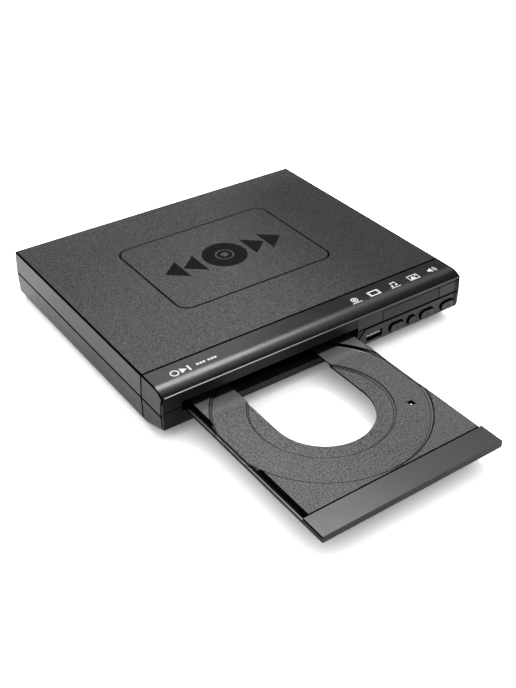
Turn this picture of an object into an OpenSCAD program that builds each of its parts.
// Compact disc player with a motor-driven loading tray, shown with the tray run out.
// Millimetres, +Z up. X runs across the front from left to right, Y runs from front to back.
// The part stands on Z = 0 and is centred in X and Y on its own outer box.
// Inside the modules Y = 0 is the seam between the top cover and the front bezel (see at_seam).

/* [Case] */
// Width of the case on the left of the tray
left_w = 18; // [16.5:0.5:30]
// Width of the case on the right of the tray, for the controls and the boards
right_w = 83; // [76:0.5:100]
// Depth behind the loader, for the rear sockets
bay_d = 15; // [14:0.5:40]
// Height of the case above the parting line
upper_h = 15; // [14:0.5:18]
// Height of the case below the parting line
lower_h = 17.2; // [16.5:0.1:20]
// Thickness of the outer walls
wall = 2; // [1.6:0.1:2.4]
// Thickness of the case floor
floor_t = 1.6; // [1.2:0.1:1.8]
// Inward lean of each side wall from the parting line to the top
upper_draft = 0.8; // [0:0.1:1.5]
// Inward lean of each side wall from the parting line to the bottom
lower_draft = 0.4; // [0:0.1:1]
// Radius along the bottom edges
bottom_r = 3.5; // [2:0.25:4]
// Radius along the top edges
top_r = 0.8; // [0.4:0.1:1.2]
// Width of the shadow gap along every parting line
seam_gap = 0.5; // [0.3:0.05:0.7]
// Height of the rubber feet below the case
foot_h = 2; // [1.5:0.25:4]
// Radius of a rubber foot
foot_r = 7; // [5:0.5:9]

/* [Front bezel] */
// Depth of the front bezel from the cover seam to the tip of the lip
bezel_d = 21.3; // [20:0.1:24]
// How far the lip sits below the top of the case
lip_drop = 3.3; // [2.5:0.1:4.5]
// Length of the flat part of the bezel top, behind the roll
roll_flat = 11; // [8:0.5:14]
// Height of the blunt nose of the lip
lip_nose = 0.7; // [0.5:0.1:1.2]
// How far the front face stands behind the lip
face_recess = 1.4; // [1:0.1:1.6]
// Thickness of the end cheeks beside the front face
cheek_t = 1.4; // [1.2:0.1:2]
// Height of the front's lower edge above the bottom of the case
front_rise = 6.3; // [4:0.1:7]
// Radius of the rounded corners of the front face
face_r = 3; // [2:0.25:3.5]

/* [Tray] */
// Width over the tray's guide flanges and over its door
flange_w = 120; // [118:0.25:124]
// How far each guide flange stands out beside the tray's deck
flange_out = 1.75; // [1.5:0.05:2]
// Depth of the tray top below the parting line
tray_drop = 2; // [1.5:0.1:2.2]
// Height of the tray from its lower edge to its deck
tray_h = 4.2; // [4.1:0.05:4.3]
// Drop from the deck to the top of the guide flanges
flange_drop = 2; // [1.8:0.1:2.2]
// How far the open tray's disc centre stands in front of the cover seam
disc_out = 61.4; // [60:0.1:64]
// Distance that the tray travels between open and closed
travel = 118.4; // [117:0.1:122]
// Radius of the floor of the recess for a 120 mm disc
disc_r = 60.2; // [60.1:0.05:60.5]
// Depth of the recess for a 120 mm disc
disc_recess = 1.4; // [1.2:0.05:1.4]
// Width of the sloped wall round the recess for a 120 mm disc
disc_slope = 1.15; // [0.6:0.05:1.3]
// Radius of the floor of the recess for an 80 mm disc
small_r = 40.1; // [40.05:0.05:40.4]
// Depth of the recess for an 80 mm disc, below the larger one
small_recess = 1.2; // [1:0.05:1.2]
// Width of the sloped wall round the recess for an 80 mm disc
small_slope = 0.9; // [0.6:0.05:1.2]
// Half the width of the opening for the turntable and pickup
opening_r = 29.75; // [29:0.25:30.5]
// Depth of the tray door from back to front
door_d = 15.9; // [14:0.1:17]

/* [Loader] */
// Module of the drive gear's rack teeth
rack_module = 1; // [0.95:0.05:1]
// Number of teeth on the drive gear's upper ring
ring_teeth = 14; // [13:1:14]
// Angle through which the traverse swings up to play
lift_angle = 2.3; // [2:0.1:2.4]
// Travel of the cam slider that lifts the traverse
slider_travel = 12; // [10:0.5:13]
// Travel of the pickup sled along its rods
sled_travel = 36; // [34:0.5:36.5]
// Radius of the turntable
turntable_r = 14; // [12:0.5:15]

/* [Controls] */
// Length of an oblong button
key_l = 10.8; // [9:0.2:11]
// Height of a button
key_h = 5.6; // [5:0.1:5.8]
// Free distance that a button can be pressed
key_travel = 0.8; // [0.5:0.1:0.9]
// Clearance round a button in the panel
key_gap = 0.3; // [0.2:0.05:0.4]
// How far the buttons stand out of the panel's face
key_out = 1.2; // [0.9:0.05:1.3]

/* [Hidden] */
$fn = 48;
e = 0.01;            // overshoot of cutting solids
play = 0.3;          // clearance between pieces that slide past each other
seat = 0.1;          // clearance between pieces that are screwed or clipped together
fit = 0.05;          // radial clearance of shafts and screws in their holes

// Levels
z_floor = foot_h;                       // underside of the case
z_in = z_floor + floor_t;               // inside of the case floor
z_part = foot_h + lower_h;              // parting line
z_top = z_part + upper_h;               // top of the case
z_roof = z_top - wall;                  // inside of the cover
deck_z = z_part - tray_drop;            // top of the tray
tray_z = deck_z - tray_h;               // lower edge of the tray
flange_z = deck_z - flange_drop;        // top of the tray's guide flanges

// Plan positions across, from the case's middle
body_w = left_w + flange_w + right_w;   // at the parting line
half_w = body_w / 2;
half_top = half_w - upper_draft;
half_bottom = half_w - lower_draft;
deck_w = flange_w - 2 * flange_out;
tray_x = left_w + flange_w / 2 - half_w;
guide_w = flange_w / 2 + 0.4;           // half the clear width between the loader's side walls
lx = tray_x - guide_w;                  // inner faces of the side walls
rx = tray_x + guide_w;
// A place at the right of the loader, which moves with the width of the case there
function bay(x) = rx + x * (half_w - rx) / 82.6;

// Plan positions from front to back, from the cover seam
disc_y = -disc_out;                     // disc centre, tray out
spin_y = disc_y + travel;               // spindle axis, and disc centre with the tray in
sled_l = 26;
sled_y = [spin_y + 15, spin_y + 15 + sled_l];                // pickup sled at the disc's hub
window_y = [sled_y[0] - 2, sled_y[1] + sled_travel + 2];     // the room that the sled needs
hinge_y = window_y[1] + 6;              // hinge of the traverse
frame_y = [1, hinge_y + 6];             // loader frame
panel_y = frame_y[1] + bay_d;           // inside of the rear panel
rear_t = 1.5;                           // thickness of the rear panel
cover_d = panel_y + rear_t;             // depth of the case behind the front bezel
face_y = -bezel_d + face_recess;        // front face
face_t = 2;                             // thickness of the front face
face_in = face_y + face_t;

// Rear jacks set the back of the outer box, the tray door sets its front
jack_out = 8.5;                         // how far a jack barrel stands out of the rear panel
deck_rim = 2.1;                         // from the floor of the disc recess to the front of the deck
deck_front = -disc_out - disc_r - deck_rim;
door_front = deck_front - door_d;
seam_y = -(cover_d + jack_out + door_front) / 2;

module at_seam() translate([0, seam_y, 0]) children();

// ---------- helpers ----------

// A block between two corners
module block(a, b) translate(a) cube([b[0] - a[0], b[1] - a[1], b[2] - a[2]]);
// Extrusions of a flat shape: drawn as (x, z) and run along Y, or drawn as (y, z) and run along X
module along_y(y0, y1) translate([0, y1, 0]) rotate([90, 0, 0]) linear_extrude(y1 - y0) children();
module along_x(x0, x1) translate([x0, 0, 0]) rotate([90, 0, 90]) linear_extrude(x1 - x0) children();
module along_z(z0, z1) translate([0, 0, z0]) linear_extrude(z1 - z0) children();
// A round post or hole between two levels
module post(x, y, z0, z1, r) translate([x, y, z0]) cylinder(h = z1 - z0, r = r);
module rod_y(x, z, y0, y1, r) translate([x, y1, z]) rotate([90, 0, 0]) cylinder(h = y1 - y0, r = r);
module rod_x(y, z, x0, x1, r) translate([x0, y, z]) rotate([0, 90, 0]) cylinder(h = x1 - x0, r = r);

// Rectangle with round corners, centred
module rounded(w, d, r) {
  square([w - 2 * r, d], center = true);
  square([w, d - 2 * r], center = true);
  for (sx = [-1, 1], sy = [-1, 1]) translate([sx * (w / 2 - r), sy * (d / 2 - r)]) circle(r = r);
}
// Slot with round ends between two points
module slot(a, b, r) {
  run = b - a;
  translate(a) rotate(atan2(run[1], run[0])) translate([0, -r]) square([norm(run), 2 * r]);
  translate(a) circle(r = r);
  translate(b) circle(r = r);
}

// Polygon whose corners are rounded by the matching radius
function unit(v) = v / norm(v);
function turn(a) = a > 180 ? a - 360 : a < -180 ? a + 360 : a;
function corner(a, b, c, r, n) =
  r <= 0 ? [b] :
  let (u = unit(a - b), v = unit(c - b), half = acos(max(-1, min(1, u * v))) / 2)
  let (m = b + unit(u + v) * r / sin(half), p = b + u * r / tan(half), q = b + v * r / tan(half))
  let (a0 = atan2(p[1] - m[1], p[0] - m[0]), sweep = turn(atan2(q[1] - m[1], q[0] - m[0]) - a0))
  [for (i = [0:n]) m + r * [cos(a0 + sweep * i / n), sin(a0 + sweep * i / n)]];
function soft(pts, radii, n = 6) =
  let (k = len(pts))
  [for (i = [0:k - 1]) each corner(pts[(i + k - 1) % k], pts[i], pts[(i + 1) % k], radii[i], n)];

// Involute gear outline with one tooth on the angle phase
pressure = 20;
backlash = 0.12;
stub = 0.8;          // addendum in modules: stub teeth, so that small gears aren't undercut
function involute(a) = tan(a) * 180 / PI - a;
function tooth_angle(m, n, r) =
  let (rp = m * n / 2, rb = rp * cos(pressure))
  90 / n - backlash / 2 / rp * 180 / PI + involute(pressure) - (r > rb ? involute(acos(rb / r)) : 0);
function gear_points(m, n, phase = 0, steps = 4) =
  let (rp = m * n / 2, tip = rp + stub * m, root = rp - 1.05 * m, base = max(root, rp * cos(pressure)))
  [for (i = [0:n - 1]) let (c = phase + i * 360 / n)
    each concat(
      [let (a = c - tooth_angle(m, n, base)) root * [cos(a), sin(a)]],
      [for (s = [0:steps]) let (r = base + (tip - base) * s / steps, a = c - tooth_angle(m, n, r)) r * [cos(a), sin(a)]],
      [for (s = [steps:-1:0]) let (r = base + (tip - base) * s / steps, a = c + tooth_angle(m, n, r)) r * [cos(a), sin(a)]],
      [let (a = c + tooth_angle(m, n, base)) root * [cos(a), sin(a)]])];

// ---------- case outline ----------

// Cross-section of the case, inset by t on the sides and the roof, from the level low upwards
module outline(t = 0, low = z_floor)
  polygon(soft(
    [[-half_bottom + t, low], [half_bottom - t, low], [half_w - t, z_part],
     [half_top - t, z_top - t], [-half_top + t, z_top - t], [-half_w + t, z_part]],
    [max(0.5, bottom_r - t), max(0.5, bottom_r - t), 0, max(0.2, top_r - t), max(0.2, top_r - t), 0]));
module below_parting() translate([-half_w - 1, 0]) square([body_w + 2, z_part - seam_gap / 2]);
module above_parting() translate([-half_w - 1, z_part + seam_gap / 2]) square([body_w + 2, upper_h]);

// The lower shell's inner tongue closes the shadow gap, and the upper shell is rebated round it
tongue_t = wall * 0.4;
tongue_h = 1.3;
module strip(x0, x1, z0, z1) translate([x0, z0]) square([x1 - x0, z1 - z0]);
module tongue() {
  strip(half_w - wall, half_w - wall + tongue_t, z_part - 1.5, z_part + tongue_h);
  strip(-half_w + wall - tongue_t, -half_w + wall, z_part - 1.5, z_part + tongue_h);
}
module rebate() {
  strip(half_w - wall - 1, half_w - wall + tongue_t + seat, z_part - 1, z_part + tongue_h + 2 * seat);
  strip(-half_w + wall - tongue_t - seat, -half_w + wall + 1, z_part - 1, z_part + tongue_h + 2 * seat);
}

// ---------- case ----------

screw_x = half_w - 7.1;                 // case screws: four corners
screw_y = [22, cover_d - 26.5];
screw_r = 1.45;
screw_head_r = 2.75;
foot_x = half_w - 16;
foot_y = [9.5, cover_d - 14];
boss_r = 3;
boss_top = 12;                          // where the lower bosses meet the cover's bosses
board_x = [bay(8.1), bay(71.1)];        // the two boards stand on the right of the loader
split_x = bay(39.6);                         // main board on the left of it, power board on the right
board_z = 9;                            // underside of the boards
board_t = 1.6;
gear_y = 14;                            // axle of the drive gear
motor_y = gear_y + 10;
board_y = [motor_y + 20, panel_y - 2.2];
tongue_y = board_y[1] - 10;             // the main board's arm behind the loader
jack_x0 = board_x[0] + 4.5;
coax_x = jack_x0 - 13.5;
hdmi_x = coax_x - 23;
arm_x = hdmi_x - 18;
hole_r = 1.5;
board_holes = [
  [board_x[0] + 4, board_y[0] + 4], [split_x - 5, board_y[0] + 4],
  [board_x[0] + 4, tongue_y - 6], [split_x + 5, board_y[0] + 4],
  [board_x[1] - 4, board_y[0] + 4], [split_x + 5, board_y[1] - 22], [board_x[1] - 4, board_y[1] - 22]
];

module bottom_case() color("dimgray") at_seam() difference() {
  union() {
    along_y(seam_gap / 2, cover_d) difference() {
      intersection() { outline(); below_parting(); }
      outline(wall, z_in);
    }
    along_y(seam_gap / 2 + seat, cover_d) tongue();
    for (s = [-1, 1], y = screw_y) post(s * screw_x, y, z_in - e, boss_top, boss_r + 0.4);
    for (p = board_holes) post(p[0], p[1], z_in - e, board_z - seat, 2.6);
    // posts that carry the loader frame
    for (p = loader_feet) post(p[0], p[1], z_in - e, base_z - seat / 2, 3.2);
    // lip that holds the foot of the rear panel
    block([-half_bottom + 12, panel_y - 1.8, z_in - e], [half_bottom - 12, panel_y - seat, z_in + 1.4]);
    // stiffening ribs on the floor behind the front
    for (x = [11.7 - half_w, bay(32.1), bay(52.1)]) block([x, 8, z_in - e], [x + 1.2, 36, z_in + 1.6]);
  }
  for (s = [-1, 1], y = screw_y) {
    post(s * screw_x, y, z_floor - 1, z_floor + 4, screw_head_r + 0.35);
    post(s * screw_x, y, z_floor, boss_top + 1, screw_r + 0.25);
  }
  for (s = [-1, 1], y = foot_y) post(s * foot_x, y, z_floor - 1, z_floor + 0.6, foot_r + seat);
  for (p = board_holes) post(p[0], p[1], z_in + 0.6, board_z + 1, hole_r - 0.3);
  for (p = loader_feet) post(p[0], p[1], z_floor + 0.5, base_z + 1, hole_r - 0.3);
  // air slots under the power board
  for (i = [0:6]) translate([0, 0, z_floor - 1]) linear_extrude(floor_t + 2)
    slot([split_x + 10, board_y[0] + 26 + 8 * i], [board_x[1] - 8, board_y[0] + 26 + 8 * i], 1.25);
}

groove_w = 0.9;
groove_d = 0.5;
motif = [body_w - 106, cover_d - 80, 8.5];   // size and corner radius of the groove in the cover
motif_y = cover_d / 2 + 0.95;

module top_cover() color("#585858") at_seam() difference() {
  union() {
    along_y(seam_gap / 2, cover_d) difference() {
      intersection() { outline(); above_parting(); }
      outline(wall, z_in);
    }
    for (s = [-1, 1], y = screw_y) post(s * screw_x, y, boss_top + 0.2, z_roof + e, boss_r);
    // ribs that stiffen the roof, and a lip in front of the rear panel
    for (y = [38, motif_y + 16.8, cover_d - 32.5]) block([-half_top + 8, y, z_roof - 1.6], [half_top - 8, y + 1.4, z_roof + e]);
    block([-half_top + 6, panel_y - 1.8, z_roof - 2], [half_top - 6, panel_y - seat, z_roof + e]);
  }
  along_y(0, cover_d + 1) rebate();
  for (s = [-1, 1], y = screw_y) post(s * screw_x, y, boss_top, boss_top + 12, screw_r + fit);
  translate([0, motif_y, z_top - groove_d]) linear_extrude(1) difference() {
    rounded(motif[0] + groove_w / 2, motif[1] + groove_w / 2, motif[2] + groove_w / 4);
    rounded(motif[0] - groove_w * 1.5, motif[1] - groove_w * 1.5, motif[2] - groove_w * 0.75);
  }
}

module rubber_feet() color("#202020") at_seam()
  for (s = [-1, 1], y = foot_y) translate([s * foot_x, y, 0]) rotate_extrude()
    polygon(soft([[0, 0.5], [foot_r * 0.55, 0.5], [foot_r * 0.55, 0], [foot_r - 0.3, 0], [foot_r, foot_h * 0.6],
      [foot_r, foot_h + 0.5], [0, foot_h + 0.5]], [0, 0, 0, 0.4, 0, 0, 0], 3));

// Pan-head screw, head down, its underside at the level z
module screw(x, y, z, l, r, head_r, head_h = 1.6) {
  difference() {
    post(x, y, z - head_h, z, head_r);
    translate([x, y, z - head_h - e]) linear_extrude(0.9) { square([3.2, 0.7], center = true); square([0.7, 3.2], center = true); }
  }
  post(x, y, z - e, z + l, r);
}
module case_screws() color("#303030") at_seam()
  for (s = [-1, 1], y = screw_y) screw(s * screw_x, y, z_floor + 4 - seat, 15, screw_r, screw_head_r);

// ---------- rear ----------

jack_x = [jack_x0, jack_x0 + 11, jack_x0 + 22];   // video, left and right
inlet_x = split_x + 17.5;
jack_z = board_z + board_t + 6.6;
barrel_r = 4.15;
neck_r = barrel_r - 0.55;               // where the barrel passes through its coloured ring
barrel_bore = barrel_r - 0.8;
ring_r = 5.1;
inlet_w = 22;
inlet_h = 14;
inlet_z = board_z + board_t + 0.4 + inlet_h / 2;
hdmi_w = 15.2;
hdmi_h = 5.8;
hdmi_z = board_z + board_t + 0.1 + hdmi_h / 2;

module rear_panel() color("#3c3c3c") at_seam() difference() {
  along_y(panel_y, cover_d) outline(wall + seat, z_in + seat);
  for (x = concat(jack_x, [coax_x])) rod_y(x, jack_z, panel_y - 1, cover_d + 1, ring_r + 0.2);
  along_y(panel_y - 1, cover_d + 1) translate([hdmi_x, hdmi_z]) square([hdmi_w + 0.4, hdmi_h + 0.4], center = true);
  along_y(panel_y - 1, cover_d + 1) translate([inlet_x, inlet_z]) rounded(inlet_w + 0.4, inlet_h + 0.4, 1.2);
  for (i = [0:8]) along_y(panel_y - 1, cover_d + 1)
    slot([14.5 - half_w + 9 * i, z_in + 8], [14.5 - half_w + 9 * i, z_roof - 6], 1.2);
}

module jack_block() color("#181818") at_seam() difference() {
  union() {
    block([jack_x[0] - 5, panel_y - 12, board_z + board_t + seat], [jack_x[2] + 5, panel_y - seat, jack_z + 6]);
    block([coax_x - 5, panel_y - 12, board_z + board_t + seat], [coax_x + 5, panel_y - seat, jack_z + 6]);
    for (x = concat(jack_x, [coax_x])) rod_y(x, jack_z, panel_y - 1, cover_d + jack_out - 1.5, barrel_bore - 0.45);
  }
  for (x = concat(jack_x, [coax_x])) rod_y(x, jack_z, panel_y - 4, cover_d + jack_out, 1.65);
}
module jack_barrels() color("silver") at_seam()
  for (x = concat(jack_x, [coax_x])) difference() {
    union() {
      rod_y(x, jack_z, panel_y, cover_d + 1.2, neck_r);
      rod_y(x, jack_z, cover_d + 1.1, cover_d + jack_out, barrel_r);
    }
    rod_y(x, jack_z, panel_y - 1, cover_d + jack_out + 1, barrel_bore);
  }
module jack_ring(x) at_seam() difference() {
  rod_y(x, jack_z, panel_y, cover_d + 1, ring_r);
  rod_y(x, jack_z, panel_y - 1, cover_d + 2, neck_r + fit);
}
module jack_ring_yellow() color("gold") jack_ring(jack_x[0]);
module jack_ring_white() color("white") jack_ring(jack_x[1]);
module jack_ring_red() color("firebrick") jack_ring(jack_x[2]);
module jack_ring_orange() color("darkorange") jack_ring(coax_x);

module hdmi_socket() color("silver") at_seam() difference() {
  along_y(panel_y - 10, cover_d + 0.3) translate([hdmi_x, hdmi_z])
    polygon(soft([[-hdmi_w / 2 + 1.6, -hdmi_h / 2], [hdmi_w / 2 - 1.6, -hdmi_h / 2], [hdmi_w / 2, 0],
      [hdmi_w / 2, hdmi_h / 2], [-hdmi_w / 2, hdmi_h / 2], [-hdmi_w / 2, 0]], [0.4, 0.4, 0.4, 0.4, 0.4, 0.4], 3));
  difference() {
    along_y(panel_y - 8, cover_d + 1) translate([hdmi_x, hdmi_z])
      polygon([[-hdmi_w / 2 + 2, -hdmi_h / 2 + 0.5], [hdmi_w / 2 - 2, -hdmi_h / 2 + 0.5], [hdmi_w / 2 - 0.5, 0.2],
        [hdmi_w / 2 - 0.5, hdmi_h / 2 - 0.5], [-hdmi_w / 2 + 0.5, hdmi_h / 2 - 0.5], [-hdmi_w / 2 + 0.5, 0.2]]);
    block([hdmi_x - 5.5, panel_y - 9, hdmi_z - 0.3], [hdmi_x + 5.5, cover_d - 1.5, hdmi_z + 0.9]);
  }
}

// Two-pin mains inlet, figure-of-eight
inlet_pin_gap = 8.6;
module power_inlet() color("#141414") at_seam() {
  difference() {
    along_y(panel_y - 12, cover_d + 0.4) translate([inlet_x, inlet_z]) rounded(inlet_w, inlet_h, 1);
    along_y(cover_d - 10, cover_d + 1) translate([inlet_x, inlet_z])
      for (s = [-1, 1]) translate([s * inlet_pin_gap / 2, 0]) circle(r = inlet_pin_gap / 2 + 0.15);
  }
  for (s = [-1, 1]) rod_y(inlet_x + s * inlet_pin_gap / 2, inlet_z, cover_d - 11, cover_d - 1, 1.2);
}

// ---------- boards ----------

module board_plate(pts, z) along_z(z, z + board_t) difference() {
  polygon(pts);
  for (p = board_holes) translate(p) circle(r = hole_r);
}
module main_board() color("#1d4a2c") at_seam()
  board_plate([[board_x[0], board_y[0]], [split_x - 0.5, board_y[0]], [split_x - 0.5, board_y[1]],
    [arm_x, board_y[1]], [arm_x, tongue_y], [board_x[0], tongue_y]], board_z);
module main_chips() color("#161616") at_seam() {
  z = board_z + board_t + seat / 2;
  translate([board_x[0], board_y[0], 0]) {
    block([6, 48, z], [22, 64, z + 2]);
    block([8, 70, z], [20, 77, z + 1.2]);
    block([5, 30, z], [13, 36, z + 1.5]);
    block([18, 30, z], [26, 42, z + 1.4]);
    for (i = [0:2]) block([4 + 8 * i, 12, z], [9 + 8 * i, 17, z + 5]);
  }
  block([hdmi_x + 9.5, board_y[1] - 8, z], [hdmi_x + 15.5, board_y[1] - 3, z + 1.4]);
}
module power_board() color("#8a6a3a") at_seam()
  board_plate([[split_x + 0.5, board_y[0]], [board_x[1], board_y[0]], [board_x[1], board_y[1]],
    [split_x + 0.5, board_y[1]]], board_z);
module transformer() color("#b08d2c") at_seam() translate([split_x + 4.5, board_y[0] + 48, 0]) {
  z = board_z + board_t + seat / 2;
  block([0, 0, z], [20, 20, z + 3]);
  block([2, 3, z + 3 - e], [18, 17, z + 13]);
  block([0, 0, z + 13 - e], [20, 20, z + 16]);
}
module capacitors() color("#22304a") at_seam() translate([split_x, board_y[0], 0]) {
  z = board_z + board_t + seat / 2;
  post(12.5, 80.5, z, z + 17, 6);
  for (i = [0:2]) post(5.5 + 8.5 * i, 36, z, z + 12, 3);
  for (i = [0:1]) post(6.5 + 10 * i, 16, z, z + 10, 2.5);
  block([22.5, 88, z], [27.5, 98, z + 9]);
}

// ---------- front bezel ----------

lip_z = z_top - lip_drop;               // top of the lip
front_z = z_floor + front_rise;         // lower edge of the front face
step_y = -3;                            // where the underside starts to rise
roll_r = (pow(bezel_d - roll_flat, 2) + pow(lip_drop, 2)) / (2 * lip_drop);
function roll(t, y_end) =
  let (r = roll_r - t, a = asin((-roll_flat - y_end) / r))
  [for (i = [0:10]) [-roll_flat - r * sin(a * i / 10), z_top - roll_r + r * cos(a * i / 10)]];
function under(y) = z_floor + front_rise * max(0, (step_y - y) / (bezel_d + step_y));

slot_top = z_part + 3.2;
slot_step = z_part - 3.3;
rack_x = tray_x + flange_w / 2 - 9;     // pitch line of the tray's rack
rack_low = 1.6;                         // how far the rack hangs below the tray
window_x = [bay(19.5), bay(66.1), bay(66.1) + 0.3, half_w - cheek_t - 0.2];
window_top = z_part + 8.2;
insert_gap = 0.2;
panel_gap = 0.25;
panel_top = z_part - seam_gap / 2;
usb_x = bay(13.6);
usb_z = z_part - 7.05;
usb_w = 12.5;                           // inside of a full-size USB socket
usb_h = 5.1;
key_z = z_part - 7.5;
keys = [[bay(31.4), key_l], [bay(43.8), key_h], [bay(56.8), key_l], [bay(74.5), key_l]];

module face_pocket() along_y(-bezel_d - 1, face_y)
  polygon(soft(
    [[-half_w + cheek_t, front_z - 0.7], [half_w - cheek_t, front_z - 0.7],
     [half_w - cheek_t, lip_z - lip_nose], [-half_w + cheek_t, lip_z - lip_nose]],
    [face_r, face_r, face_r, face_r]));
slot_floor = 4.2;                       // depth of the slot's floor behind the face
module tray_slot() along_y(-bezel_d - 1, face_in + slot_floor + 1) {
  strip(tray_x - guide_w - 3.5, tray_x + guide_w + 0.1, slot_step, slot_top);
  strip(tray_x - guide_w, tray_x + guide_w, tray_z - 0.5, slot_step + 1);
  strip(rack_x - 1.5, rack_x + 4.5, tray_z - rack_low - 0.5, tray_z);
}

module upper_bezel() color("#484848") at_seam() {
  difference() {
    intersection() {
      along_y(-bezel_d, -seam_gap / 2) intersection() { outline(); above_parting(); }
      along_x(-half_w, half_w) polygon(concat(
        [[-bezel_d, z_part - 1], [-seam_gap / 2, z_part - 1], [-seam_gap / 2, z_top]], roll(0, -bezel_d),
        [[-bezel_d, lip_z]]));
    }
    intersection() {
      along_y(face_in, 1) outline(wall, z_in);
      along_x(-half_w, half_w) polygon(concat(
        [[face_in, z_part - 2], [1, z_part - 2], [1, z_roof]], roll(wall, face_in)));
    }
    face_pocket();
    tray_slot();
    // rebates and openings for the two windows
    along_y(-bezel_d - 1, face_y + 1.2)
      strip(window_x[0] - insert_gap, half_w - cheek_t, z_part - 1, window_top + insert_gap);
    for (i = [0, 2]) along_y(-bezel_d, face_in + 1)
      strip(window_x[i] + 1, window_x[i + 1] - 1, z_part + 1.2, window_top - 1);
    along_y(step_y, 1) rebate();
  }
  // sleeve that enters the cover, and pegs for the front board
  difference() {
    along_y(step_y, 4) intersection() { outline(wall + seat); translate([0, seam_gap]) above_parting(); }
    along_y(step_y - 1, 5) outline(wall + seat + 1, z_in);
    along_y(step_y - 1, 5) rebate();
  }
  for (s = [-1, 1]) block([s * (half_top - wall - 0.6) - 0.6, step_y, z_part + 3], [s * (half_top - wall - 0.6) + 0.6, -seam_gap / 2 - seat, z_roof - 1]);
  for (x = [-60, 0, 60]) block([x - 6, step_y - 2, z_roof - 1.2], [x + 6, -seam_gap / 2, z_roof + 0.2]);
  for (x = [front_board_x + 6, half_w - 7.5]) rod_y(x, z_top - 5.3, face_in - e, front_board_y - seat, 1.4);
}

// Outside of the front's lower half, inset by t
module lower_front(t = 0) hull() {
  along_y(step_y, t > 0 ? 1 : -seam_gap / 2) intersection() { outline(t, z_floor + (t > 0 ? floor_t : 0)); below_parting(); }
  y = t > 0 ? face_in : -bezel_d;
  along_y(y, y + 0.01) intersection() { outline(t, under(y) + (t > 0 ? floor_t : 0)); below_parting(); }
}
// Outline of the button panel, seen from the front, grown by g
module panel_shape(g = 0) intersection() {
  polygon([[rx - 4.8 - g, front_z - 3], [rx + 1.4 - g, z_part - 5.5], [rx + 5.3 - g, z_part - 1.5], [rx + 8.1 - g, panel_top],
    [half_w, panel_top], [half_w, front_z - 3]]);
  translate([0, -3]) polygon(soft(
    [[0, front_z - 0.7 + 3], [half_w - cheek_t - panel_gap + g, front_z - 0.7 + 3],
     [half_w - cheek_t - panel_gap + g, z_part + 9], [0, z_part + 9]], [0, face_r - 0.3, 0, 0]));
}
module lower_bezel() color("#262626") at_seam() {
  difference() {
    lower_front();
    difference() {
      lower_front(wall);
      // ledge behind the button panel
      difference() {
        along_y(face_in - e, face_in + 1.4) strip(rx - 3.9, half_w, front_z - 4, z_part);
        along_y(face_in - 1, face_in + 2) intersection() {
          translate([1.2, 0]) panel_shape(-0.6);
          strip(0, half_w - cheek_t - 2, front_z - 0.1, z_part + 1);
        }
      }
    }
    along_y(face_in - seat, face_in + 3) strip(front_board_x, half_w - wall + 0.3, front_z, z_part);
    face_pocket();
    tray_slot();
    along_y(-bezel_d - 1, face_in + seat) panel_shape(panel_gap);
    along_y(-bezel_d - 1, face_in + 3) translate([usb_x, usb_z]) square([usb_w + 1.4, usb_h + 1.4], center = true);
  }
  along_y(step_y, -seam_gap / 2 + e) tongue();
  // floor of the slot, up to the notch for the rack
  block([tray_x - guide_w, face_in - e, tray_z - 1.8], [rack_x - 1.5, face_in + slot_floor, tray_z - 0.5]);
  // sleeve that enters the lower shell, and the rests of the boards
  for (s = [-1, 1]) intersection() {
    difference() {
      along_y(step_y, 4) intersection() { outline(wall + seat, z_in + seat); translate([0, -1]) below_parting(); }
      along_y(step_y - 1, 5) outline(wall + seat + 1, z_in + seat + 1);
    }
    block([s * (half_w - 6) - 6, -9, 0], [s * (half_w - 6) + 6, 9, z_part]);
  }
  for (s = [-1, 1]) block([s * (half_bottom - 8) - 5, step_y, z_in - 0.3], [s * (half_bottom - 8) + 5, -seam_gap / 2, z_in + seat + 0.5]);
  for (x = [front_board_x + 9, half_w - 11.5]) block([x, front_board_y - 1.2, under(front_board_y) + 1], [x + 3, front_board_y + board_t + 1, front_board_z - seat]);
  for (x = [usb_x - 5, usb_x + 5]) block([x - 1.5, -9, z_in - 0.1], [x + 1.5, -6, usb_z - usb_h / 2 - 0.5 - board_t - 2 * seat]);
}

// Panel with the USB opening and the four button openings
module key_shape(w, g = 0) rounded(w + 2 * g, key_h + 2 * g, key_h / 2 + g - e);
module button_panel() color("#505050") at_seam() difference() {
  intersection() {
    along_y(face_y, face_in) panel_shape();
    along_x(0, half_w) polygon([[face_y, under(face_y)], [face_in, under(face_in)], [face_in, z_part], [face_y, z_part]]);
  }
  along_y(face_y - 1, face_in + 1) {
    translate([usb_x, usb_z]) rounded(usb_w + 0.3, usb_h - 0.1, 0.4);
    for (k = keys) translate([k[0], key_z]) key_shape(k[1], key_gap);
  }
}
module display_window() color("#2c2c30") at_seam() {
  along_y(face_y, face_y + 1.1) strip(window_x[0], window_x[1], z_part + 0.3, window_top);
}
module remote_window() color("#3a3034") at_seam() {
  along_y(face_y, face_y + 1.1) strip(window_x[2], window_x[3], z_part + 0.3, window_top);
}

// A button: a cap through the panel and a flange behind it
module key(k) at_seam() {
  along_y(face_y - key_out, face_in) translate([k[0], key_z]) key_shape(k[1], -0.25);
  along_y(face_y - key_out + 0.25, face_in + 0.4) translate([k[0], key_z]) key_shape(k[1]);
  along_y(face_in + play, face_in + 1.1) translate([k[0], key_z]) {
    rounded(k[1] + 1, key_h - 0.4, 1.2);
    translate([0, 0.5]) rounded(k[1] - 0.4, key_h, 1.2);
  }
}
module play_button() color("#4c4c4c") key(keys[0]);
module power_button() color("#4c4c4c") key(keys[1]);
module stop_button() color("#4c4c4c") key(keys[2]);
module eject_button() color("#4c4c4c") key(keys[3]);

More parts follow.
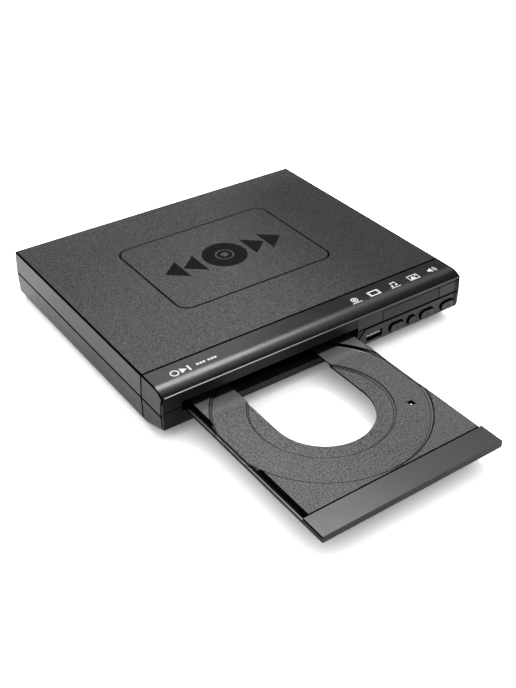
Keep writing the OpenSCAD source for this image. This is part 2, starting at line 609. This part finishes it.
front_board_x = usb_x + 8.5;
front_board_y = -12.6;
front_board_z = 9;
module front_board() color("#1d4a2c") at_seam() difference() {
  block([front_board_x, front_board_y, front_board_z], [half_w - 3.5, front_board_y + board_t, z_top - 3.6]);
  for (x = [front_board_x + 18, half_w - 15.5]) rod_y(x, z_top - 5.5, front_board_y - 1, front_board_y + 3, 1);
}
// Switches: the plungers stop just short of the button flanges
plunger_y = face_in + 1.1 + key_travel + 0.1;
module tact_switches() color("#262626") at_seam() for (k = keys) {
  block([k[0] - 3, plunger_y + 0.7, key_z - 2.2], [k[0] + 3, front_board_y - seat, key_z + 3]);
  rod_y(k[0], key_z, plunger_y, plunger_y + 1, 1.5);
}
module display_module() color("#20242a") at_seam() difference() {
  block([window_x[0] + 4.6, face_in + 0.3, z_part + 0.8], [window_x[1] - 2, front_board_y - seat, z_part + 7.6]);
  block([window_x[0] + 6.6, face_in, z_part + 2], [window_x[1] - 4, face_in + 0.8, z_part + 6.4]);
}
usb_board_z = usb_z - usb_h / 2 - 0.5 - board_t - seat;
module usb_board() color("#1d4a2c") at_seam()
  block([usb_x - 8, -13, usb_board_z], [usb_x + 7.9, -1, usb_board_z + board_t]);
module usb_socket() color("silver") at_seam() {
  difference() {
    along_y(face_in + seat, -5) translate([usb_x, usb_z]) rounded(usb_w + 0.8, usb_h + 0.8, 0.6);
    along_y(face_in - 1, -6) translate([usb_x, usb_z]) square([usb_w, usb_h], center = true);
  }
  block([usb_x - 5.6, face_in + 1.5, usb_z - 0.1], [usb_x + 5.6, -5.5, usb_z + 1.7]);
}

// ---------- tray ----------

tray_back = disc_y + disc_r + 21.2;     // rear end of the tray, tray out
deck_t = 1.5;                           // thickness of the deck
dish_t = 1.2;                           // thickness of the two recesses' floors
ceiling_z = deck_z - deck_t;            // underside of the deck
skirt = 1.5;
u_back = disc_y + disc_r + 5.8;         // rear end of the opening
u_front = disc_y - 1.1;                 // centre of the opening's round end
gear_x = rack_x - rack_module * ring_teeth / 2;
rack_pitch = PI * rack_module;
rack_tip = rack_x - stub * rack_module;
rack_root = rack_x + 1.05 * rack_module;
rack_y = [deck_front + 13.3, tray_back - 0.5];

module u_shape(g = 0) {
  translate([tray_x, u_front]) circle(r = opening_r + g, $fn = 96);
  translate([tray_x - opening_r - g, u_front]) square([2 * (opening_r + g), u_back - u_front]);
}
module tray_box(half, z0, z1) block([tray_x - half, deck_front, z0], [tray_x + half, tray_back, z1]);
// Dished recess with a sloped wall
module dish(r, slope, depth, z)
  translate([tray_x, disc_y, z - depth]) cylinder(h = depth + e, r1 = r, r2 = r + slope, $fn = 144);
module tray() color("#707070") at_seam() {
  difference() {
    union() {
      tray_box(deck_w / 2, tray_z, deck_z);
      tray_box(flange_w / 2, tray_z, flange_z);
    }
    dish(disc_r, disc_slope, disc_recess, deck_z);
    dish(small_r, small_slope, small_recess, deck_z - disc_recess);
    translate([0, 0, tray_z - 1]) linear_extrude(tray_h + 2) u_shape();
    // hollow underside that follows the two recesses
    difference() {
      block([tray_x - flange_w / 2 + skirt, deck_front + skirt, tray_z - 1],
            [tray_x + flange_w / 2 - skirt, tray_back + 1, ceiling_z]);
      post(tray_x, disc_y, deck_z - disc_recess - dish_t, deck_z, disc_r + disc_slope + dish_t, $fn = 96);
      post(tray_x, disc_y, deck_z - disc_recess - small_recess - dish_t, deck_z, small_r + small_slope + dish_t, $fn = 96);
    }
    // the rear bar stays clear of the turntable
    block([tray_x - 28, u_back - 1, tray_z - 1], [tray_x + 28, tray_back + 1, ceiling_z]);
    translate([tray_x + 43.8, disc_y - 25.1, deck_z - 3]) cube([3, 3, 10], center = true);
  }
  // rack along the underside
  translate([0, 0, tray_z - rack_low]) linear_extrude(ceiling_z - tray_z + rack_low + e) polygon(rack_points());
  // tongue that carries the door
  block([tray_x - tongue_w, deck_front - 12, tray_z + 1.3], [tray_x + tongue_w, deck_front + skirt + e, deck_z - 1.5]);
}
// One tooth gap faces the drive gear, so the teeth run half a pitch away from it
function rack_points() =
  let (half = rack_pitch / 4 - backlash / 2, t = tan(pressure),
       k0 = ceil((rack_y[0] + 2 - gear_y) / rack_pitch - 0.5), k1 = floor((rack_y[1] - 2 - gear_y) / rack_pitch - 0.5))
  concat([[rack_x + 3, rack_y[0]], [rack_x + 3, rack_y[1]], [rack_root, rack_y[1]]],
    [for (k = [k1:-1:k0]) let (c = gear_y + (k + 0.5) * rack_pitch)
      each [[rack_root, c + half + 1.05 * rack_module * t], [rack_tip, c + half - stub * rack_module * t],
        [rack_tip, c - half + stub * rack_module * t], [rack_root, c - half - 1.05 * rack_module * t]]],
    [[rack_root, rack_y[0]]]);

tongue_w = flange_w / 2 - 10;           // half the width of the tongue in the door
door_gap = 0.35;
module tray_door() color("#808080") at_seam() difference() {
  block([tray_x - flange_w / 2, door_front, tray_z], [tray_x + flange_w / 2, deck_front - door_gap, deck_z]);
  block([tray_x - tongue_w - seat, deck_front - 12 - seat, tray_z + 1.3 - seat],
        [tray_x + tongue_w + seat, deck_front + 1, deck_z - 1.5 + seat]);
}

// ---------- loader ----------

base_z = z_in + 0.4;                    // underside of the loader frame
base_t = 1.2;
side_t = 3.2;
hinge_z = tray_z - 2.1;
pin_r = 2;
arm_w = 34.5;                           // half the width over the traverse's arms
gear_up = tray_z - rack_low - 0.3;      // drive gear levels
mesh_z = tray_z - 4.3;
pulley_z = base_z + base_t + 0.4;
pulley_h = 2.6;
mesh_m = 0.8;
mesh_n = 32;
pinion_n = 12;
mesh_a = 65;
mesh_d = mesh_m * (mesh_n + pinion_n) / 2;
pulley_x = gear_x + mesh_d * cos(mesh_a);
pulley_y = gear_y + mesh_d * sin(mesh_a);
motor_x = rx + 15.1;
groove_r = 13;
motor_groove_r = 2.5;
belt_t = 1.2;
belt_h = 1.3;
bridge_y = [spin_y - 16, spin_y + 16];
bridge_z = z_top - 13.2;
slot_r = 1.45;
loader_feet = [[lx + 4.9, gear_y + 4], [gear_x - 17.5, gear_y - 8], [motor_x + 4, gear_y - 8],
  [motor_x + 4, board_y[0] - 4], [lx + 4.9, frame_y[1] - 2], [rx - 5.9, frame_y[1] - 2]];
bridge_x = [lx - side_t + 0.4, rx + side_t - 0.4];
lug_x = arm_w + 2.2;                    // middle of a hinge lug, from the tray's centre line

module side_wall(x0, x1, tab) {
  block([x0, frame_y[0], base_z], [x1, frame_y[1], flange_z + play + 1.5]);
  inner = tab > 0 ? x1 : x0;
  block([min(inner - e * tab, inner + tab * 3.5), frame_y[0], tray_z - play - 1.2], [max(inner - e * tab, inner + tab * 3.5), hinge_y - 3.4, tray_z - play]);
  for (y = [4, spin_y + 3, hinge_y - 32]) block([min(inner - e * tab, inner + tab * 1.5), y, flange_z + play], [max(inner - e * tab, inner + tab * 1.5), y + 14, flange_z + play + 1.5]);
}
module loader_frame() color("#3a3a3a") at_seam() {
  difference() {
    union() {
      block([lx - side_t, frame_y[0], base_z], [motor_x + 9, motor_y, base_z + base_t]);
      block([gear_x - 9.5, frame_y[0], base_z], [motor_x + 9, board_y[0], base_z + base_t]);
      side_wall(lx - side_t, lx, 1);
      side_wall(rx, rx + side_t, -1);
      block([lx, frame_y[0], base_z], [gear_x - 19.5, frame_y[0] + 2, base_z + 4.5]);
      // rear crossbar with the hinge lugs
      block([lx, hinge_y + 2, base_z], [lead_x - 5.8, frame_y[1], base_z + 4.5]);
      block([lead_x - 6.8, hinge_y + 2, base_z], [tray_x + lug_x + 0.8, frame_y[1], base_z + base_t]);
      block([tray_x + lug_x - 0.2, hinge_y + 2, base_z], [rx, frame_y[1], base_z + 4.5]);
      for (s = [-1, 1]) translate([tray_x + s * lug_x, 0, 0]) {
        rod_x(hinge_y, hinge_z, -1.5, 1.5, pin_r + 0.8);
        block([-1.5, hinge_y - pin_r - 0.8, base_z], [1.5, frame_y[1] - 1, hinge_z]);
      }
      // pads for the clamp bridge
      for (x = bridge_x) post(x, (bridge_y[0] + bridge_y[1]) / 2, base_z, bridge_z - seat, 3.2);
      // axles of the two gears
      post(gear_x, gear_y, base_z + base_t - e, mesh_z - 0.5, pin_r + 1);
      post(gear_x, gear_y, base_z + base_t - e, gear_up + 1.6, pin_r);
      post(pulley_x, pulley_y, base_z + base_t - e, mesh_z + 1.6, pin_r);
      post(pulley_x, pulley_y, base_z + base_t - e, pulley_z - seat, pin_r + 1);
      // motor bracket
      for (s = [-1, 1]) post(motor_x, motor_y + s * 13, base_z, pulley_z + pulley_h + 0.8, 2.5);
      along_z(pulley_z + pulley_h + 0.7, pulley_z + pulley_h + 1.9) {
        slot([motor_x, motor_y - 13], [motor_x, motor_y + 13], 4);
        translate([motor_x, motor_y]) circle(r = 10.4);
      }
      // keepers over the cam slider's flange
      for (x = [tray_x - 33.5, tray_x + 2.5]) {
        block([x, gear_y - 2.5, base_z + base_t - e], [x + 5, gear_y - play, base_z + base_t + 3]);
        block([x, gear_y - 2.5, base_z + base_t + play + 1.4 + play], [x + 5, gear_y + 2, base_z + base_t + 3]);
      }
    }
    // window in the right wall for the pulley gear and the belt
    block([rx - 1, motor_y - 13, base_z + base_t], [rx + side_t + 1, motor_y + 23, mesh_z + 0.7]);
    for (s = [-1, 1]) rod_x(hinge_y, hinge_z, tray_x + s * lug_x - 3, tray_x + s * lug_x + 3, pin_r + fit);
    for (p = loader_feet) post(p[0], p[1], base_z - 1, base_z + 10, hole_r + 0.15);
    for (p = loader_feet) post(p[0], p[1], base_z + base_t, tray_z - 2, 3);
    for (x = bridge_x) post(x, (bridge_y[0] + bridge_y[1]) / 2, bridge_z - 8, bridge_z + 1, hole_r - 0.3);
    post(motor_x, motor_y, pulley_z, pulley_z + 6, 3.2);
  }
}
module loader_screws() color("#b0b0b0") at_seam() {
  for (p = loader_feet) translate([p[0], p[1], base_z + base_t + seat / 2]) mirror([0, 0, 1]) screw(0, 0, 0, base_z + base_t - z_floor - 0.9, 1.15, 2.5, 1.4);
  for (x = bridge_x) translate([x, (bridge_y[0] + bridge_y[1]) / 2, bridge_z + 1 + seat / 2]) mirror([0, 0, 1]) screw(0, 0, 0, 6, 1.15, 2.5, 1.4);
}
module clamp_bridge() color("#a8a8a8") at_seam() difference() {
  union() {
    block([lx - side_t, bridge_y[0], bridge_z], [rx + side_t, bridge_y[1], bridge_z + 1]);
    for (y = [bridge_y[0], bridge_y[1] - 1]) block([lx + 4, y, bridge_z], [rx - 4, y + 1, bridge_z + 3.2]);
  }
  post(tray_x, spin_y, bridge_z - 1, bridge_z + 2, 10.4);
  for (x = bridge_x) post(x, (bridge_y[0] + bridge_y[1]) / 2, bridge_z - 1, bridge_z + 2, hole_r);
}

module drive_gear() color("ivory") at_seam() translate([gear_x, gear_y, 0]) difference() {
  union() {
    along_z(gear_up, gear_up + 2.2) polygon(gear_points(rack_module, ring_teeth));
    along_z(mesh_z, mesh_z + 1.6) polygon(gear_points(mesh_m, mesh_n, mesh_a, 3));
    post(0, 0, mesh_z - 0.4, gear_up + e, 4);
  }
  post(0, 0, 0, z_top, pin_r + fit);
}
module pulley_gear() color("ivory") at_seam() translate([pulley_x, pulley_y, 0]) difference() {
  union() {
    post(0, 0, pulley_z, pulley_z + 0.5, groove_r + 1.6);
    post(0, 0, pulley_z, pulley_z + pulley_h, groove_r);
    post(0, 0, pulley_z + pulley_h - 0.5, pulley_z + pulley_h, groove_r + 1.6);
    post(0, 0, pulley_z, mesh_z - 0.3 + e, 3.4);
    along_z(mesh_z - 0.3, mesh_z + 1.9) polygon(gear_points(mesh_m, pinion_n, mesh_a + 180 + 180 / pinion_n, 3));
  }
  post(0, 0, 0, z_top, pin_r + fit);
}
module motor_pulley() color("#c8a858") at_seam() translate([motor_x, motor_y, 0]) difference() {
  union() {
    post(0, 0, pulley_z, pulley_z + 0.5, motor_groove_r + 1.7);
    post(0, 0, pulley_z, pulley_z + pulley_h, motor_groove_r);
    post(0, 0, pulley_z + pulley_h - 0.5, pulley_z + pulley_h, motor_groove_r + 1.7);
  }
  post(0, 0, 0, z_top, 1 + fit);
}
module belt_loop(t) hull() {
  translate([pulley_x, pulley_y]) circle(r = groove_r + fit + t);
  translate([motor_x, motor_y]) circle(r = motor_groove_r + fit + t);
}
module drive_belt() color("#181818") at_seam()
  along_z(pulley_z + (pulley_h - belt_h) / 2, pulley_z + (pulley_h + belt_h) / 2) difference() { belt_loop(belt_t); belt_loop(0); }
module loading_motor() color("#b8b8b8") at_seam() translate([motor_x, motor_y, pulley_z + pulley_h + 2]) {
  post(0, 0, 0, 12, 10);
  post(0, 0, -1.2, e, 3);
  post(0, 0, -pulley_h - 1.8, e, 1);
  post(0, 0, 12 - e, 12.8, 3.5);
}

// Cam slider: its sloped slots lift the front pins of the traverse
pin_x = [tray_x - 22, tray_x + 14];
cam_pin_r = 1.2;
cam_y = gear_y + 13.6;                  // middle of the slider's wall
cam_pin_z = hinge_z - 0.3;              // pin height with the traverse up
cam_low = hinge_z - 0.3 * cos(lift_angle) + (cam_y - hinge_y) * sin(lift_angle);
cam_x = [tray_x - 38, tray_x + 18];
module cam_slider() color("ivory") at_seam() {
  difference() {
    block([cam_x[0], cam_y - 1, base_z + 0.2], [cam_x[1], cam_y + 1, tray_z - 0.4]);
    along_y(cam_y - 2, cam_y + 2) for (x = pin_x) {
      slot([x, cam_low], [x - slider_travel, cam_pin_z], slot_r);
      slot([x, cam_low], [x + 1.5, cam_low], slot_r);
      slot([x - slider_travel, cam_pin_z], [x - slider_travel - 1.5, cam_pin_z], slot_r);
    }
  }
  block([cam_x[0], gear_y, base_z + base_t + play], [cam_x[1], cam_y - 1 + e, base_z + base_t + play + 1.4]);
}

// ---------- traverse ----------

// Drawn in the playing position, then swung down about the hinge
module lowered() at_seam() translate([0, hinge_y, hinge_z]) rotate([lift_angle, 0, 0]) translate([0, -hinge_y, -hinge_z]) children();
ch_z = [tray_z - 2.9, tray_z - 0.5];
well_w = arm_w - 3;                     // half the width of the window that the sled runs in
sled_w = well_w - 7.5;                  // half the width of the sled
rod_off = well_w - 10.5;
rod_r = 1.5;
rod_bore = rod_r + 0.02;
lead_x = tray_x + well_w - 5.2;
lens_y = spin_y + 22.5;

module traverse_frame() color("#2e2e30") lowered() difference() {
  union() {
    block([tray_x - well_w + 1.5, cam_y + 4.4, ch_z[0]], [tray_x + well_w - 1.5, spin_y + 5, ch_z[1]]);
    block([tray_x - arm_w, spin_y + 3, ch_z[0]], [tray_x + arm_w, hinge_y - 2.9, ch_z[1]]);
    for (x = [tray_x - rod_off, tray_x + rod_off, lead_x])
      block([x - 3, spin_y + 5, hinge_z - 2.6], [x + 3, window_y[0], ch_z[1]]);
    block([tray_x - 30, window_y[1], hinge_z - 2.6], [tray_x + 30, hinge_y - 2.9, ch_z[1]]);
    for (s = [-1, 1]) {
      block([tray_x + s * (arm_w - 1.75) - 1.75, hinge_y - 8, hinge_z - 2.4], [tray_x + s * (arm_w - 1.75) + 1.75, hinge_y, hinge_z + 1.5]);
      rod_x(hinge_y, hinge_z, tray_x + s * (arm_w - 1.75) - 1.75, tray_x + s * (arm_w - 1.75) + 1.75, 2.4);
      rod_x(hinge_y, hinge_z, tray_x + s * (arm_w + 1.7) - 2.2, tray_x + s * (arm_w + 1.7) + 2.2, pin_r);
      block([tray_x + s * (well_w - 2.7) - 1.2, cam_y + 5.4, ch_z[0] - 2], [tray_x + s * (well_w - 2.7) + 1.2, spin_y + 3, ch_z[0] + e]);
    }
    for (x = pin_x) rod_y(x, cam_pin_z, cam_y - 0.8, cam_y + 6.4, cam_pin_r);
  }
  block([tray_x - well_w, window_y[0], 0], [tray_x + well_w, window_y[1], z_top]);
  post(tray_x, spin_y, 0, z_top, 11.7);
  for (s = [-1, 1]) rod_y(tray_x + s * rod_off, hinge_z, window_y[0] - 7, window_y[1] + 2, rod_bore);
  rod_y(lead_x, hinge_z, window_y[0] - 6, hinge_y - 1, rod_r + fit);
}
module spindle_motor() color("#c0c0c0") lowered() {
  difference() {
    union() {
      along_z(ch_z[0] - 0.8, ch_z[0] - 0.1) { translate([tray_x, spin_y]) circle(r = 14.5); translate([tray_x - 12, spin_y - 20]) square([24, 20]); }
      post(tray_x, spin_y, tray_z - 5, tray_z + 1.2, 4);
      post(tray_x, spin_y, tray_z - 1.7, tray_z + 1, 9.2);
    }
    post(tray_x, spin_y, tray_z - 4.6, z_top, 1.55);
  }
  for (i = [0:2]) translate([tray_x, spin_y, tray_z - 2.95]) rotate(60 + 120 * i) translate([7.4, 0, 0]) cylinder(h = 1.3, r = 1.2);
}
module rotor_bell() color("#d0d0d0") lowered() difference() {
  union() {
    post(tray_x, spin_y, tray_z - 2.1, tray_z + 2.5, 11);
    post(tray_x, spin_y, tray_z - 4.5, tray_z + 5.5, 1.5);
  }
  difference() {
    post(tray_x, spin_y, tray_z - 3, tray_z + 1.6, 9.8);
    post(tray_x, spin_y, tray_z - 5, tray_z + 2, 1.5);
  }
}
module turntable() color("#202020") lowered() difference() {
  union() {
    post(tray_x, spin_y, tray_z + 2.5 + seat, tray_z + 4, turntable_r);
    post(tray_x, spin_y, tray_z + 4 - e, tray_z + 5.2, 7.4);
    translate([tray_x, spin_y, tray_z + 5.2 - e]) cylinder(h = 0.6, r1 = 7.4, r2 = 6.2);
  }
  post(tray_x, spin_y, tray_z + 2, z_top, 1.51);
}
module guide_rods() color("silver") lowered()
  for (s = [-1, 1]) rod_y(tray_x + s * rod_off, hinge_z, window_y[0] - 6.8, window_y[1] + 1.8, rod_r);
module pickup_sled() color("#8c8c90") lowered() difference() {
  union() {
    block([tray_x - sled_w, sled_y[0], tray_z - 5], [tray_x + sled_w, sled_y[1], tray_z + 0.2]);
    block([tray_x - 17, sled_y[0], tray_z], [tray_x + 17, sled_y[1] - 4, tray_z + 1.5]);
    block([tray_x + sled_w - e, sled_y[0] + 12, hinge_z - 1.4], [lead_x - rod_r - seat, sled_y[0] + 20, hinge_z + 1.4]);
  }
  for (s = [-1, 1]) rod_y(tray_x + s * rod_off, hinge_z, sled_y[0] - 1, sled_y[1] + 1, rod_r + fit);
  block([tray_x - 12, sled_y[0] + 8, tray_z - 6], [tray_x + 12, sled_y[1] - 5, tray_z - 2.5]);
}
module pickup_lens() color("#3050a0") lowered() {
  block([tray_x - 7, lens_y - 6, tray_z + 1.5 + seat / 2], [tray_x + 7, lens_y + 6, tray_z + 2.4]);
  translate([tray_x, lens_y, tray_z + 2.4 - e]) cylinder(h = 1, r1 = 3.4, r2 = 2.4);
}
module lead_screw() color("#d8c890") lowered() rod_y(lead_x, hinge_z, window_y[0] - 5, hinge_y - 3, rod_r);
module feed_motor() color("#b0b0b0") lowered()
  rod_y(lead_x, hinge_z, hinge_y - 2.8, hinge_y + 6, 4.2);

module clamp_puck() color("#e4e4e0") at_seam() difference() {
  union() {
    post(tray_x, spin_y, tray_z + 5.25, bridge_z - 0.8, 14);
    post(tray_x, spin_y, tray_z + 6, bridge_z + 1.3, 10);
    post(tray_x, spin_y, bridge_z + 1.3 - e, bridge_z + 2.3, 14);
  }
  post(tray_x, spin_y, tray_z + 5, tray_z + 6.9, 8.2);
  post(tray_x, spin_y, bridge_z - 0.4, bridge_z + 4, 6.1);
}
module puck_magnet() color("#909090") at_seam()
  post(tray_x, spin_y, bridge_z - 0.35, bridge_z + 1.9, 6);

// ---------- sub-parts ----------
bottom_case();
top_cover();
rear_panel();
upper_bezel();
lower_bezel();
button_panel();
display_window();
remote_window();
rubber_feet();
case_screws();
play_button();
power_button();
stop_button();
eject_button();
front_board();
tact_switches();
display_module();
usb_board();
usb_socket();
main_board();
main_chips();
power_board();
transformer();
capacitors();
power_inlet();
jack_block();
jack_barrels();
jack_ring_yellow();
jack_ring_white();
jack_ring_red();
jack_ring_orange();
hdmi_socket();
loader_frame();
clamp_bridge();
loader_screws();
loading_motor();
drive_belt();
tray();
tray_door();
drive_gear();
pulley_gear();
motor_pulley();
cam_slider();
traverse_frame();
spindle_motor();
guide_rods();
feed_motor();
rotor_bell();
turntable();
pickup_sled();
pickup_lens();
lead_screw();
clamp_puck();
puck_magnet();
